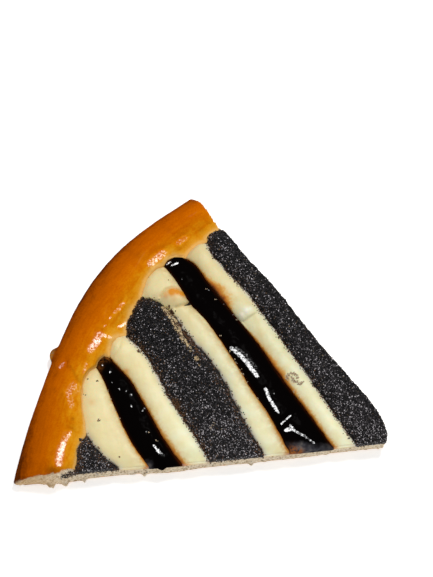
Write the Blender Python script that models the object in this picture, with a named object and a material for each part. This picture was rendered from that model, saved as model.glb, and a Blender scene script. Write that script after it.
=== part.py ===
"""A slice of a large round kolache: yeast dough with a raised glazed rim, filled with
hand-laid stripes of poppy seed, sweet quark and plum jam, and cut with two strokes of a knife.

The plan is drawn in millimetres from the point where the two cuts would meet: X runs along the
front cut towards that point, Y runs back from it, and Z is up. The finished slice is moved so
that its origin is at the middle of its base.
"""

import math

import bmesh
import bpy
import numpy as np
from mathutils import Vector, noise

MM = 0.001

# The whole kolache that the slice comes from
KOLACHE_RADIUS = 134.6
KOLACHE_MIDDLE = (3.4, -17.9)
RIM_UNEVEN = 1.0
RIM_WAVES = 9.0
RIM_WAVE_START = 128.0
FRONT_FLARE = 1.3
FRONT_FLARE_ANGLE = 150.0

# Angles, seen from the kolache's middle, at which the slice's rim starts and ends
RIM_BACK_ANGLE = 120.0
RIM_FRONT_ANGLE = 172.0

# The rim's section at the front cut, and what is left of it at the back cut
RIM_HEIGHT_FRONT = 12.6
RIM_HEIGHT_BACK = 11.2
RIM_INNER_FRONT = 9.4
RIM_INNER_BACK = 6.4
RIM_WIDTH_FRONT = 22.0
RIM_WIDTH_BACK = 15.0
RIM_CREST_FRONT = 0.78
RIM_CREST_BACK = 0.5
RIM_FULLNESS_FRONT = 1.4
RIM_FULLNESS_BACK = 1.9
RIM_REACH = 1.08
RIM_SIDE_HEIGHT = 3.2
RIM_FOOT = [(0.07, 0.0), (0.02, 1.2)]
RIM_SIDE_STEPS = 9
RIM_SLOPE_STEPS = 6
RIM_LUMP = 0.5
RIM_LUMP_SIZE = 14.0
RIM_BLEND = 60.0
RING_HOLE_RADIUS = 8.0
RING_STEPS = 200

# Base and fillings
BASE_THICKNESS = 5.0
GAP = 0.3
CUTTER_TOP = 20.0
MERGE_DISTANCE = 0.01
FLAT_ANGLE = math.radians(0.05)
SHARP_ANGLE = math.radians(40)
SHARPEST_CORNER = 0.5
BED_OUTSIDE = [(-110.6, -30), (40, -30), (40, 130), (-46, 130)]

# The two cuts. The front one is given as points of the plan. The right one is given as
# distances from the tip, and how far the knife strayed outwards there.
WEDGE_ANGLE = 58.0
FRONT_CUT = [(-160, 0), (-131, 0.3), (-124, 0), (-116, -0.7), (-108, 0), (-95, 0.1), (-79, -0.7),
             (-66, -0.3), (-50, -0.4), (-34, -0.3), (-22, 0), (-12, 0.1)]
TIP = [(-6, 0), (-5.5, 2.4), (-5.8, 5.8), (-7.1, 10)]
RIGHT_CUT = [(17, 0), (30, -0.2), (46, -0.4), (58, 0), (67, 0.5), (76, 0.1), (86, -0.4), (100, -0.3),
             (160, -0.3)]
PAST_WEDGE = (-240, 140)
KNIFE_DIP = 1.5
KNIFE_DIP_WIDTH = 3.2
KNIFE_DIP_ABOVE = 0.6

# Seams between the stripes, from the front cut up to the rim. Each is named for the stripe on
# its right and then the one on its left, and its last point lies on the rim's inner edge.
SEAMS = {
    "poppy_edge/quark_edge": [(-16, 0), (-27.3, 22.3), (-36.6, 40.4), (-46.3, 58.1), (-53.8, 69),
                              (-57.5, 75), (-58.4, 79)],
    "quark_edge/jam_long": [(-23.6, 0), (-30.1, 12.2), (-37.9, 25.9), (-44.6, 39.2), (-52.1, 51.3),
                            (-58.8, 62.1), (-63.2, 70.6), (-66.6, 73.8)],
    "jam_long/quark_long": [(-38.8, 0), (-43.8, 13.1), (-50.1, 25.7), (-55.9, 38.8), (-61.8, 49.3),
                            (-67.2, 57.2), (-71.1, 65.5), (-74.6, 71.6)],
    "quark_long/poppy_middle": [(-47.3, 0), (-53, 13.1), (-57.7, 26.5), (-62.7, 36), (-68.6, 44.8),
                                (-73, 52.8), (-77.7, 58.1), (-83.4, 60.4)],
    "poppy_middle/quark_middle": [(-65.7, 0), (-70.5, 11.1), (-77, 23.2), (-81.7, 34.5), (-84.2, 40.2),
                                  (-87.4, 43.8), (-89.6, 47)],
    "quark_middle/jam_short": [(-75.2, 0), (-80.2, 9.2), (-85.3, 21), (-89.8, 30.9), (-93, 35.2),
                               (-96.2, 39.6)],
    "jam_short/quark_corner": [(-86.3, 0), (-91.5, 9.9), (-95.4, 20.1), (-98.9, 31.3), (-101, 36.6)],
    "quark_corner/poppy_corner": [(-95.7, 0), (-99.5, 3.9), (-103.2, 8.1), (-106, 13.6)],
}

# Where each stripe's rounded head lies against the rim, from its right to its left
HEADS = {
    "poppy_edge": [(-46, 89), (-52, 84), (-55.6, 83), (-57.8, 81)],
    "quark_edge": [(-61.6, 78.8), (-64.7, 76.4)],
    "jam_long": [(-69.8, 74.8), (-73, 73.6)],
    "quark_long": [(-77.6, 70.4), (-80.7, 67.2), (-82.4, 63.5)],
    "poppy_middle": [(-86.5, 56.6), (-88.7, 52), (-89.4, 49)],
    "quark_middle": [(-92.5, 46.8), (-95, 44.8), (-95.9, 41.8)],
    "jam_short": [(-98.3, 40.3), (-100.2, 38.8)],
    "quark_corner": [(-104.2, 34.6), (-106.2, 30), (-106.8, 23), (-106.3, 17)],
    "poppy_corner": [(-108.3, 10.5), (-109.7, 6.5), (-110.3, 0), (-110.6, -8)],
}
STRIPES = list(HEADS)
SEAM_RUN_OUT = 6.0
FIRST_STRIPE_LENGTH = 96.0
OUTLINE_STEP = 2.4

# What each filling's section is like: its height over the base where it meets the next stripe,
# its height at the crown, how far in from its edge it is still rounding over, and its lumps
FILLINGS = {
    "poppy": {"edge": 2.9, "crown": 5.1, "round": 4.2, "lump": 0.45, "lump_size": 5.0},
    "quark": {"edge": 2.8, "crown": 4.9, "round": 3.8, "lump": 0.30, "lump_size": 9.0},
    "jam": {"edge": 2.3, "crown": 4.2, "round": 5.2, "lump": 0.25, "lump_size": 11.0},
}
HEAD_BELOW_RIM = 0.3
HEAD_ROUND = 3.6

# Where a stripe was dolloped on higher, or was dented: place, reach and height
SWELLS = {
    "quark_edge": [((-47, 50.4), 3.5, 0.8)],
    "jam_long": [((-58, 38), 9, 0.4), ((-41, 10), 8, 0.4)],
    "quark_long": [((-75, 65), 5.5, 0.5), ((-70.6, 59.2), 4, 0.9), ((-67, 55.4), 2, -1.0)],
    "poppy_middle": [((-82, 48), 7, 0.5), ((-62, 18), 10, 0.4)],
    "quark_middle": [((-93.7, 43.4), 3, 0.6)],
    "quark_corner": [((-101.5, 22), 7, 0.5)],
}

# The grid that each stripe is made from
STEPS_ACROSS = 8
STEP_ALONG = 2.6

COLOURS = {
    "dough": (0.62, 0.27, 0.05),
    "poppy": (0.035, 0.033, 0.036),
    "quark": (0.83, 0.74, 0.46),
    "jam": (0.012, 0.006, 0.005),
}
ROUGHNESS = {"dough": 0.35, "poppy": 0.8, "quark": 0.55, "jam": 0.12}

# The burst blob of glaze on the rim's outer side
BLOB_ANGLE = 152.5
BLOB_SIZE = (5.4, 5.6, 4.4)
BLOB_HEIGHT = 4.2
BLOB_SINK = 1.5


def clear_scene():
    """Removes every object, so that the script also runs in an open file."""
    for old in list(bpy.data.objects):
        bpy.data.objects.remove(old, do_unlink=True)


def new_collection(name):
    """A collection of that name in the scene."""
    made = bpy.data.collections.new(name)
    bpy.context.scene.collection.children.link(made)
    return made


def smooth_line(points, step=OUTLINE_STEP):
    """A smooth line through points, with a point about every step, ends included."""
    p = [Vector(q) for q in points]
    p = [2 * p[0] - p[1], *p, 2 * p[-1] - p[-2]]
    line = []
    for a, b, c, d in zip(p, p[1:], p[2:], p[3:]):
        count = max(1, round((c - b).length / step))
        for i in range(count):
            t = i / count
            line.append(0.5 * (2 * b + (c - a) * t + (2 * a - 5 * b + 4 * c - d) * t * t
                               + (3 * b - a - 3 * c + d) * t ** 3))
    return [*line, p[-2]]


def seam(name):
    """A seam from below the front cut up to the rim."""
    points = [Vector(p) for p in SEAMS[name]]
    start = points[0] - (points[1] - points[0]).normalized() * SEAM_RUN_OUT
    return smooth_line([start, *points])


def wedge_direction():
    """The right cut's direction, from the tip to the rim."""
    turn = math.radians(180 - WEDGE_ANGLE)
    return Vector((math.cos(turn), math.sin(turn)))


def stripe_edges(name):
    """A stripe's right side up to the rim, its head from right to left, and its left side."""
    number = STRIPES.index(name)
    seams = list(SEAMS)
    past_cut = Vector((SEAM_RUN_OUT, -SEAM_RUN_OUT))
    past_head = past_cut + wedge_direction() * FIRST_STRIPE_LENGTH
    right = seam(seams[number - 1]) if number else [past_cut, past_head]
    left = seam(seams[number]) if number < len(seams) else []
    head = smooth_line([right[-1], *HEADS[name], *left[-1:]])
    return right, head, left


def rim_inner_line():
    """The line along which the fillings meet the rim, from the right cut round to the front."""
    line = []
    for name in STRIPES:
        right, head, left = stripe_edges(name)
        line += head[:-1] if left else head
    return line


def stripe_sides(name):
    """A stripe's right and left edges, each run on to the top of its head, with its gap left."""
    right, head, left = stripe_edges(name)
    outline = moved_sideways(right[:-1] + head + left[-2::-1], GAP / 2)
    top = len(right) - 1 + (len(head) // 2 if left else 0)
    return outline[:top + 1], outline[:top - 1:-1]


def spaced(line, count):
    """Count + 1 points spaced evenly along a line."""
    lengths = [(b - a).length for a, b in zip(line, line[1:])]
    marks = np.concatenate([[0], np.cumsum(lengths)])
    wanted = np.linspace(0, marks[-1], count + 1)
    return np.stack([np.interp(wanted, marks, [p[axis] for p in line]) for axis in (0, 1)], axis=1)


def moved_sideways(outline, distance):
    """A closed outline that runs anticlockwise, drawn in by distance or, below 0, let out."""
    moved = []
    for before, here, after in zip(outline[-1:] + outline[:-1], outline, outline[1:] + outline[:1]):
        came = (here - before).normalized()
        goes = (after - here).normalized()
        inward = Vector((-came.y - goes.y, came.x + goes.x)).normalized()
        reach = max(inward.dot(Vector((-came.y, came.x))), SHARPEST_CORNER)
        moved.append(here + inward * distance / reach)
    return moved


def slice_outline():
    """The slice in plan: two strokes of the knife, and a rounded corner where the tip broke off."""
    along = wedge_direction()
    outward = Vector((along.y, -along.x))
    side = [along * distance + outward * stray for distance, stray in RIGHT_CUT]
    return [*smooth_line(FRONT_CUT), *smooth_line([*TIP, *side]), Vector(PAST_WEDGE)]


def mesh_object(name, bm, collection, colour=None):
    """Turns a bmesh in millimetres into an object in metres."""
    bmesh.ops.recalc_face_normals(bm, faces=bm.faces)
    bmesh.ops.scale(bm, vec=(MM, MM, MM), verts=bm.verts)
    mesh = bpy.data.meshes.new(name)
    bm.to_mesh(mesh)
    bm.free()
    made = bpy.data.objects.new(name, mesh)
    collection.objects.link(made)
    if colour:
        mesh.materials.append(material(colour))
    return made


def material(kind):
    """The plain finish of one kind of filling or of the dough."""
    found = bpy.data.materials.get(kind)
    if found:
        return found
    made = bpy.data.materials.new(kind)
    made.use_nodes = True
    shader = made.node_tree.nodes["Principled BSDF"]
    shader.inputs["Base Color"].default_value = (*COLOURS[kind], 1)
    shader.inputs["Roughness"].default_value = ROUGHNESS[kind]
    shader.inputs["Metallic"].default_value = 0.0
    return made


def helper(cutter):
    """Marks an object as a helper that is not a part itself."""
    cutter.hide_render = True
    cutter.display_type = "WIRE"
    return cutter


def prism(name, outline, low, high, collection):
    """An upright block on an outline."""
    bm = bmesh.new()
    bm.faces.new([bm.verts.new((p.x, p.y, low)) for p in outline])
    raised = bmesh.ops.extrude_face_region(bm, geom=list(bm.faces), use_keep_orig=True)
    top = [v for v in raised["geom"] if isinstance(v, bmesh.types.BMVert)]
    bmesh.ops.translate(bm, vec=(0, 0, high - low), verts=top)
    return helper(mesh_object(name, bm, collection))


def combine(target, operation, cutter):
    """Applies one Boolean to target."""
    step = target.modifiers.new(operation.lower(), "BOOLEAN")
    step.operation = operation
    step.solver = "EXACT"
    step.object = cutter
    depsgraph = bpy.context.evaluated_depsgraph_get()
    done = bpy.data.meshes.new_from_object(target.evaluated_get(depsgraph))
    target.modifiers.clear()
    old = target.data
    done.name = old.name
    target.data = done
    bpy.data.meshes.remove(old)


def distance_to_line(points, line):
    """How far each of points is from a line of straight pieces."""
    line = np.array([tuple(p) for p in line])
    best = np.full(len(points), 1e9)
    for a, b in zip(line, line[1:]):
        run = b - a
        share = np.clip(((points - a) @ run) / max(run @ run, 1e-12), 0, 1)
        best = np.minimum(best, np.hypot(*(points - a - share[:, None] * run).T))
    return best


def kind_of(name):
    """What a stripe is made of."""
    return name.split("_")[0]


def arch(distance, reach):
    """A quarter-round rise from 0 at an edge to 1 at reach from it."""
    share = np.clip(distance / reach, 0, 1)
    return np.sqrt(1 - (1 - share) ** 2)


def filling_top(name, points):
    """The height of a stripe's top over the base at each of points in plan."""
    size = FILLINGS[kind_of(name)]
    right, head, left = stripe_edges(name)
    side = np.minimum.reduce([distance_to_line(points, line) for line in (right, left) if line])
    lumps = [noise.noise(Vector((x, y, 0)) / size["lump_size"]) for x, y in points]
    height = size["edge"] + (size["crown"] - size["edge"]) * arch(side, size["round"])
    height += size["lump"] * np.array(lumps)
    for place, reach, swell in SWELLS.get(name, []):
        height += swell * np.exp(-((points - place) ** 2).sum(axis=1) / reach ** 2)
    at_rim = np.array([between(RIM_INNER_BACK, RIM_INNER_FRONT, forward_share(x, y)[0])
                       for x, y in points - np.array(KOLACHE_MIDDLE)])
    head_height = np.minimum(at_rim - HEAD_BELOW_RIM - BASE_THICKNESS, height)
    return head_height + (height - head_height) * arch(distance_to_line(points, head), HEAD_ROUND)


def make_filling(name, parts, knife):
    """One stripe: a grid that follows its edges, crowned, thickened down to the base and cut."""
    right, left = stripe_sides(name)
    steps = round(sum((b - a).length for a, b in zip(right, right[1:])) / STEP_ALONG)
    right, left = spaced(right, steps), spaced(left, steps)
    bm = bmesh.new()
    bmesh.ops.create_grid(bm, x_segments=STEPS_ACROSS, y_segments=steps, size=0.5)
    top = list(bm.verts)
    points = []
    for vert in top:
        across = 0.5 - 0.5 * math.cos(math.pi * (vert.co.x + 0.5))
        along = round((vert.co.y + 0.5) * steps)
        points.append(left[along] + (right[along] - left[along]) * across)
    points = np.array(points)
    for vert, (x, y) in zip(top, points):
        vert.co = (x, y, 0)
    lower = bmesh.ops.extrude_face_region(bm, geom=list(bm.faces), use_keep_orig=True)
    for vert in lower["geom"]:
        if isinstance(vert, bmesh.types.BMVert):
            vert.co.z = BASE_THICKNESS + GAP
    for vert, height in zip(top, filling_top(name, points)):
        vert.co.z = BASE_THICKNESS + height
    bmesh.ops.remove_doubles(bm, verts=bm.verts, dist=MERGE_DISTANCE)
    stripe = mesh_object(name, bm, parts, kind_of(name))
    combine(stripe, "INTERSECT", knife)
    return stripe


def rim_section():
    """The rim's section at the front, as (share of the rim's width, height), outer foot first."""
    shares = [RIM_CREST_FRONT * (1 - math.cos(math.pi / 2 * step / RIM_SIDE_STEPS))
              for step in range(RIM_SIDE_STEPS + 1)]
    slope = RIM_REACH - RIM_CREST_FRONT
    shares += [RIM_CREST_FRONT + slope * step / RIM_SLOPE_STEPS for step in range(1, RIM_SLOPE_STEPS + 1)]
    return [*RIM_FOOT, *[(share, rim_height(share, RIM_CREST_FRONT, 1)) for share in shares]]


def rim_height(share, crest, forward):
    """The rim's height at a share of its width. Forward is 0 at the back cut and 1 at the front."""
    height = between(RIM_HEIGHT_BACK, RIM_HEIGHT_FRONT, forward)
    if share < crest:
        fullness = between(RIM_FULLNESS_BACK, RIM_FULLNESS_FRONT, forward)
        climb = (1 - (1 - max(share, 0) / crest) ** fullness) ** (1 / fullness)
        return RIM_SIDE_HEIGHT + (height - RIM_SIDE_HEIGHT) * climb
    fall = 0.5 - 0.5 * math.cos(math.pi * min((share - crest) / (RIM_REACH - crest), 1))
    return height + (between(RIM_INNER_BACK, RIM_INNER_FRONT, forward) - height) * fall


def make_dough(parts, cutters, knife):
    """The base with its rim: turned whole, shaped by hand, hollowed for the fillings and cut."""
    section = rim_section()
    bm = bmesh.new()
    profile = [bm.verts.new((KOLACHE_RADIUS - u * RIM_WIDTH_FRONT, 0, z)) for u, z in section]
    profile += [bm.verts.new((RING_HOLE_RADIUS, 0, z)) for z in (RIM_INNER_FRONT, 0)]
    edges = [bm.edges.new(pair) for pair in zip(profile, profile[1:] + profile[:1])]
    bmesh.ops.spin(bm, geom=profile + edges, cent=(0, 0, 0), axis=(0, 0, 1), angle=math.tau,
                   steps=RING_STEPS, use_merge=True)
    for vert in bm.verts:
        shape_rim(vert)
    bmesh.ops.translate(bm, vec=(*KOLACHE_MIDDLE, 0), verts=bm.verts)
    dough = mesh_object("dough", bm, parts, "dough")
    combine(dough, "INTERSECT", knife)
    bed_outline = moved_sideways([*rim_inner_line(), *map(Vector, BED_OUTSIDE)], -GAP / 2)
    bed = prism("filling_bed", bed_outline, BASE_THICKNESS, CUTTER_TOP, cutters)
    combine(dough, "DIFFERENCE", bed)
    combine(dough, "UNION", make_blob(cutters))
    return dough


def between(low, high, share):
    """The value at a share of the way from low to high."""
    return low + (high - low) * min(max(share, 0), 1)


def forward_share(x, y):
    """How far forward along the rim a place is, from 0 at the back cut to 1 at the front, and its
    angle in degrees, both seen from the kolache's middle."""
    degrees = math.degrees(math.atan2(y, x)) % 360
    return (degrees - RIM_BACK_ANGLE) / (RIM_FRONT_ANGLE - RIM_BACK_ANGLE), degrees


def moved_share(share, crest):
    """A share of the rim's width in the front section, moved so that the crest comes at crest."""
    if share < RIM_CREST_FRONT:
        return share * crest / RIM_CREST_FRONT
    rest = min(share, RIM_REACH) - RIM_CREST_FRONT
    moved = crest + rest * (RIM_REACH - crest) / (RIM_REACH - RIM_CREST_FRONT)
    return moved + max(share - RIM_REACH, 0)


def shape_rim(vert):
    """Moves one point of the turned kolache to where hands left it."""
    radius = math.hypot(vert.co.x, vert.co.y)
    inward = KOLACHE_RADIUS - radius
    if inward > RIM_BLEND:
        return
    forward, degrees = forward_share(vert.co.x, vert.co.y)
    crest = between(RIM_CREST_BACK, RIM_CREST_FRONT, forward)
    share = moved_share(inward / RIM_WIDTH_FRONT, crest)
    if vert.co.z > RIM_SIDE_HEIGHT - MERGE_DISTANCE:
        lump = RIM_LUMP * noise.noise(vert.co / RIM_LUMP_SIZE) * vert.co.z / RIM_HEIGHT_FRONT
        vert.co.z = rim_height(share, crest, forward) + lump
    inward = share * between(RIM_WIDTH_BACK, RIM_WIDTH_FRONT, forward)
    wave = RIM_UNEVEN * math.sin(math.radians(RIM_WAVES * (degrees - RIM_WAVE_START)))
    flare = between(0, 1, (degrees - FRONT_FLARE_ANGLE) / (RIM_FRONT_ANGLE - FRONT_FLARE_ANGLE))
    radius = KOLACHE_RADIUS + wave + FRONT_FLARE * flare ** 2 - inward
    vert.co.x = radius * math.cos(math.radians(degrees))
    vert.co.y = radius * math.sin(math.radians(degrees))


def make_blob(cutters):
    """The lump of burst glaze that sticks out of the rim's side."""
    turn = math.radians(BLOB_ANGLE)
    bm = bmesh.new()
    bmesh.ops.create_icosphere(bm, subdivisions=2, radius=0.5)
    bmesh.ops.scale(bm, vec=BLOB_SIZE, verts=bm.verts)
    place = Vector(KOLACHE_MIDDLE) + (KOLACHE_RADIUS - BLOB_SINK) * Vector((math.cos(turn), math.sin(turn)))
    bmesh.ops.translate(bm, vec=(*place, BLOB_HEIGHT), verts=bm.verts)
    return helper(mesh_object("glaze_blob", bm, cutters))


def press_cut_edges(piece):
    """Lowers the crust beside the two cuts, where the knife pressed it down."""
    along = wedge_direction()
    for vert in piece.data.vertices:
        x, y, z = (c / MM for c in vert.co)
        if z > BASE_THICKNESS + KNIFE_DIP_ABOVE:
            from_right_cut = abs(x * along.y - y * along.x)
            near = min(abs(y), from_right_cut)
            share = (z - BASE_THICKNESS) / (RIM_HEIGHT_FRONT - BASE_THICKNESS)
            vert.co.z -= MM * KNIFE_DIP * share * math.exp(-((near / KNIFE_DIP_WIDTH) ** 2))


def tidy_faces(piece):
    """Joins faces that lie in one plane, then splits those of many corners into triangles."""
    bm = bmesh.new()
    bm.from_mesh(piece.data)
    bmesh.ops.remove_doubles(bm, verts=bm.verts, dist=MERGE_DISTANCE * MM)
    bmesh.ops.dissolve_limit(bm, angle_limit=FLAT_ANGLE, verts=bm.verts, edges=bm.edges)
    many_cornered = [face for face in bm.faces if len(face.verts) > 4]
    bmesh.ops.triangulate(bm, faces=many_cornered)
    bm.to_mesh(piece.data)
    bm.free()


def centre_on_base(pieces):
    """Moves the slice so that its origin is at the middle of its base."""
    corners = [v.co for piece in pieces for v in piece.data.vertices]
    middle_x = (min(c.x for c in corners) + max(c.x for c in corners)) / 2
    middle_y = (min(c.y for c in corners) + max(c.y for c in corners)) / 2
    print("plan origin lies at", round(-middle_x, 5), round(-middle_y, 5))
    for piece in pieces:
        for vert in piece.data.vertices:
            vert.co.x -= middle_x
            vert.co.y -= middle_y


def main():
    """Builds the slice."""
    clear_scene()
    parts = new_collection("kolache_slice")
    cutters = new_collection("cutters")
    knife = prism("knife", slice_outline(), -CUTTER_TOP, 2 * CUTTER_TOP, cutters)
    pieces = [make_dough(parts, cutters, knife)]
    pieces += [make_filling(name, parts, knife) for name in STRIPES]
    for piece in pieces:
        tidy_faces(piece)
        press_cut_edges(piece)
    centre_on_base(pieces)
    for piece in pieces:
        piece.data.shade_smooth()
        piece.data.set_sharp_from_angle(angle=SHARP_ANGLE)
        print(piece.name, len(piece.data.polygons), "faces")


main()
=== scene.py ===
# %% [markdown]
# # A slice of a large striped kolache
# The real thing is a round of yeast dough, about 27 cm across, with a raised rim that was brushed
# with egg and butter, and a filling laid in stripes: ground poppy seed, sweet quark and thick plum
# jam. The slice was cut with two strokes of a knife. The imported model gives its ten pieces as
# plain solids, which say where each one is. This lesson remodels every one of them more finely,
# colours it as the oven and the syrup did, and then lays the loose grains and crumbs on top.
# We load the solids first, because every later step measures from them.

# %% Load the solids
import math

import bmesh
import bpy
import numpy as np
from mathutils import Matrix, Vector, noise
from mathutils.bvhtree import BVHTree
from mathutils.kdtree import KDTree


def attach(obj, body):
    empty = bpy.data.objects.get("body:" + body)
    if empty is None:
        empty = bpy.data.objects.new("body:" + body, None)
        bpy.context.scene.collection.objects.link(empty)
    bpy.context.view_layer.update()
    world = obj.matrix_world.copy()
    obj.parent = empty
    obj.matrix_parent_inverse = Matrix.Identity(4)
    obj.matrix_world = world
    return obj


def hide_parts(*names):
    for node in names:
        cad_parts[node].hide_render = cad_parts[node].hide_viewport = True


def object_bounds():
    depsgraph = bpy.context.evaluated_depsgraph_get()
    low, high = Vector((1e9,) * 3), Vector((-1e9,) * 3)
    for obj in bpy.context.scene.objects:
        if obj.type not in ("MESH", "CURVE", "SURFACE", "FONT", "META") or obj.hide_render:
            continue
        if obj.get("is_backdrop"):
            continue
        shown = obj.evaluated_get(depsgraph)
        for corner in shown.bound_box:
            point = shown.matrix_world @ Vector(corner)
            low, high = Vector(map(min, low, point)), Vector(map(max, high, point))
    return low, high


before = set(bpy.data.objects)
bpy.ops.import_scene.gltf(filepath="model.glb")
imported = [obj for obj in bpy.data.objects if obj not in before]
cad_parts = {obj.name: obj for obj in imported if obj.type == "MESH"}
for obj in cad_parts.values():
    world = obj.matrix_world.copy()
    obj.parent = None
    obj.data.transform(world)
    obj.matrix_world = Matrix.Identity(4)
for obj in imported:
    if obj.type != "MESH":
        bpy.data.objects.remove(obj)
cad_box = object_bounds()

MM = 0.001
low, high = cad_box
print("solids:", sorted(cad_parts), "size in mm:", [round(s / MM, 1) for s in high - low])

# %% [markdown]
# ## The slice's own measures
# A baker would measure this slice from its tip: so many millimetres along the front cut, and so
# many back from it. All the details below are placed that way, in a plan whose origin is the
# point where the two cuts would meet. The knife broke the last crumbs off, so that point lies a
# little outside the solids' box. The rim follows a circle, so it is measured from its middle.

# %% Plan measures
TIP = np.array([high.x + 5.49 * MM, low.y + 0.69 * MM, 0.0])
ROUND_MIDDLE = np.array([3.4, -17.9])
ROUND_RADIUS = 134.6
WEDGE = math.radians(180 - 58)
RIGHT_CUT_OUTWARD = np.array([math.sin(WEDGE), -math.cos(WEDGE), 0.0])
FRONT_CUT_OUTWARD = np.array([0.0, -1.0, 0.0])
BASE_TOP = 5.0


def to_plan(points):
    """Places in the frame, in metres, as millimetres from the slice's tip."""
    return (np.asarray(points, float) - TIP) / MM


def from_plan(points):
    """The other way round."""
    return np.asarray(points, float) * MM + TIP


print("the two cuts would meet at", TIP.round(4))

# %% [markdown]
# ## Camera
# The slice was photographed from high up in front of its long cut, a little from the left. A
# camera could be aimed with a constraint, but a fixed place and direction keep the other views
# simple: we aim at a point on the table and step back from it along the line of sight.

# %% Camera
CAMERA_ELEVATION = math.radians(70)
CAMERA_AZIMUTH = math.radians(-6.04)
CAMERA_DISTANCE = 0.42
LENS = 72.8
SENSOR = 36
aim = Vector(from_plan([-56.64, 64.05, 0]))


def direction(azimuth, elevation):
    """The unit vector from the slice towards something seen at these angles."""
    return Vector((math.sin(azimuth) * math.cos(elevation),
                   -math.cos(azimuth) * math.cos(elevation), math.sin(elevation)))


def aimed(thing, azimuth, elevation, distance):
    """Puts a camera or a light at these angles round the slice, looking at it."""
    back = direction(azimuth, elevation)
    thing.location = aim + back * distance
    thing.rotation_euler = back.to_track_quat("Z", "Y").to_euler()
    bpy.context.scene.collection.objects.link(thing)


camera = bpy.data.objects.new("camera", bpy.data.cameras.new("camera"))
camera.data.lens = LENS
camera.data.sensor_width = SENSOR
camera.data.clip_start = 0.01
aimed(camera, CAMERA_AZIMUTH, CAMERA_ELEVATION, CAMERA_DISTANCE)
bpy.context.scene.camera = camera
print("camera at", camera.location)

# %% [markdown]
# ## Shader maths that reads like maths
# Materials are made of nodes, and sums made of Math nodes are hard to read. This small class wraps
# a socket, so that `1 - mask * 0.5` adds its Math nodes by itself. Everything that isn't a sum
# comes from one method, `Finish.node`, which takes a node's kind, its settings and its sockets.
# Colours are written as on a paint chart, and `paint` turns them into linear light.

# %% Wires and finishes


class Wire:
    """A node's output that takes part in Python expressions."""

    def __init__(self, finish, socket):
        self.finish = finish
        self.socket = socket

    def sum(self, operation, *values):
        """Adds a Math node."""
        return self.finish.node("Math", {"operation": operation}, dict(enumerate(values)))

    def __add__(self, other):
        return self.sum("ADD", self, other)

    def __sub__(self, other):
        return self.sum("SUBTRACT", self, other)

    def __rsub__(self, other):
        return self.sum("SUBTRACT", other, self)

    def __mul__(self, other):
        return self.sum("MULTIPLY", self, other)

    __radd__ = __add__
    __rmul__ = __mul__

    def larger(self, other):
        """The larger of two values."""
        return self.sum("MAXIMUM", self, other)

    def step(self, start, end):
        """Rises smoothly from 0 at start to 1 at end, or falls if end is the smaller."""
        inputs = {"Value": self, "From Min": start, "From Max": end}
        return self.finish.node("MapRange", {"interpolation_type": "SMOOTHSTEP"}, inputs)


class Finish:
    """A material: a Principled shader, and the nodes that feed it."""

    def __init__(self, name, constants):
        self.material = bpy.data.materials.new(name)
        self.material.use_nodes = True
        self.tree = self.material.node_tree
        self.shader = self.tree.nodes["Principled BSDF"]
        for socket, value in constants.items():
            self.shader.inputs[socket].default_value = value

    def node(self, kind, settings, inputs, output=0):
        """Adds a node: its settings first, then the values or wires of its sockets."""
        made = self.tree.nodes.new("ShaderNode" + kind)
        for name, value in settings.items():
            if name == "stops":
                self.set_stops(made.color_ramp.elements, value)
            else:
                setattr(made, name, value)
        for name, value in inputs.items():
            if isinstance(value, Wire):
                self.tree.links.new(value.socket, made.inputs[name])
            else:
                made.inputs[name].default_value = value
        return Wire(self, made.outputs[output])

    @staticmethod
    def set_stops(elements, stops):
        """Sets a ramp's stops, given as pairs of place and colour."""
        while len(elements) < len(stops):
            elements.new(1.0)
        for element, (place, colour) in zip(elements, stops):
            element.position = place
            element.color = paint(colour)

    def noise(self, size, detail):
        """Cloudy noise with lumps of about size millimetres, from 0 to 1."""
        place = self.node("TexCoord", {}, {}, "Object")
        inputs = {"Vector": place, "Scale": 1 / (size * MM), "Detail": detail}
        return self.node("TexNoise", {}, inputs)

    def measure(self, name):
        """A value that was written on the piece's points."""
        return self.node("Attribute", {"attribute_name": name}, {}, "Fac")

    def blend(self, share, first, second, mode="MIX"):
        """A mix of two colours."""
        settings = {"data_type": "RGBA", "blend_type": mode}
        return self.node("Mix", settings, {0: share, 6: paint(first), 7: paint(second)}, 2)

    def ramp(self, value, stops):
        """A colour for each value from 0 to 1."""
        return self.node("ValToRGB", {"stops": stops}, {"Fac": value})

    def feed(self, socket, wire):
        """Links a wire to one of the shader's own sockets."""
        self.tree.links.new(wire.socket, self.shader.inputs[socket])

    def relief(self, height, depth):
        """Fine relief: height from 0 to 1, depth in millimetres."""
        inputs = {"Height": height, "Distance": depth * MM, "Strength": 1.0}
        self.feed("Normal", self.node("Bump", {}, inputs))


def paint(colour):
    """Three numbers from 0 to 255, as a paint chart gives them, made linear. The rest passes."""
    if isinstance(colour, Wire) or len(colour) == 4:
        return colour
    parts = [c / 255 for c in colour]
    return (*[c / 12.92 if c < 0.04045 else ((c + 0.055) / 1.055) ** 2.4 for c in parts], 1.0)


print("golden crust in linear light:", [round(c, 3) for c in paint((215, 122, 5))])

# %% [markdown]
# ## Light and table
# Jam and glaze show small hard glints, all of them on slopes that face back and to the right. So
# one small lamp stands there, high behind the slice, and wet places mirror it into the lens. A
# soft even light from all round fills the sides. It is kept out of reflections, or the black jam
# would look grey. The table is a plain pale plane that glows a little, like a light table, which
# keeps the shadows round the slice thin.

# %% Light and table
LAMP_AZIMUTH = math.radians(141)
LAMP_ELEVATION = math.radians(66)
LAMP_DISTANCE = 0.6
LAMP_SIZE = 0.13
LAMP_WATTS = 1.9
FILL = 0.5
TABLE_COLOUR = (0.97, 0.97, 0.97, 1)
TABLE_SIZE = 4.0
TABLE_GLOW = 0.45

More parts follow.
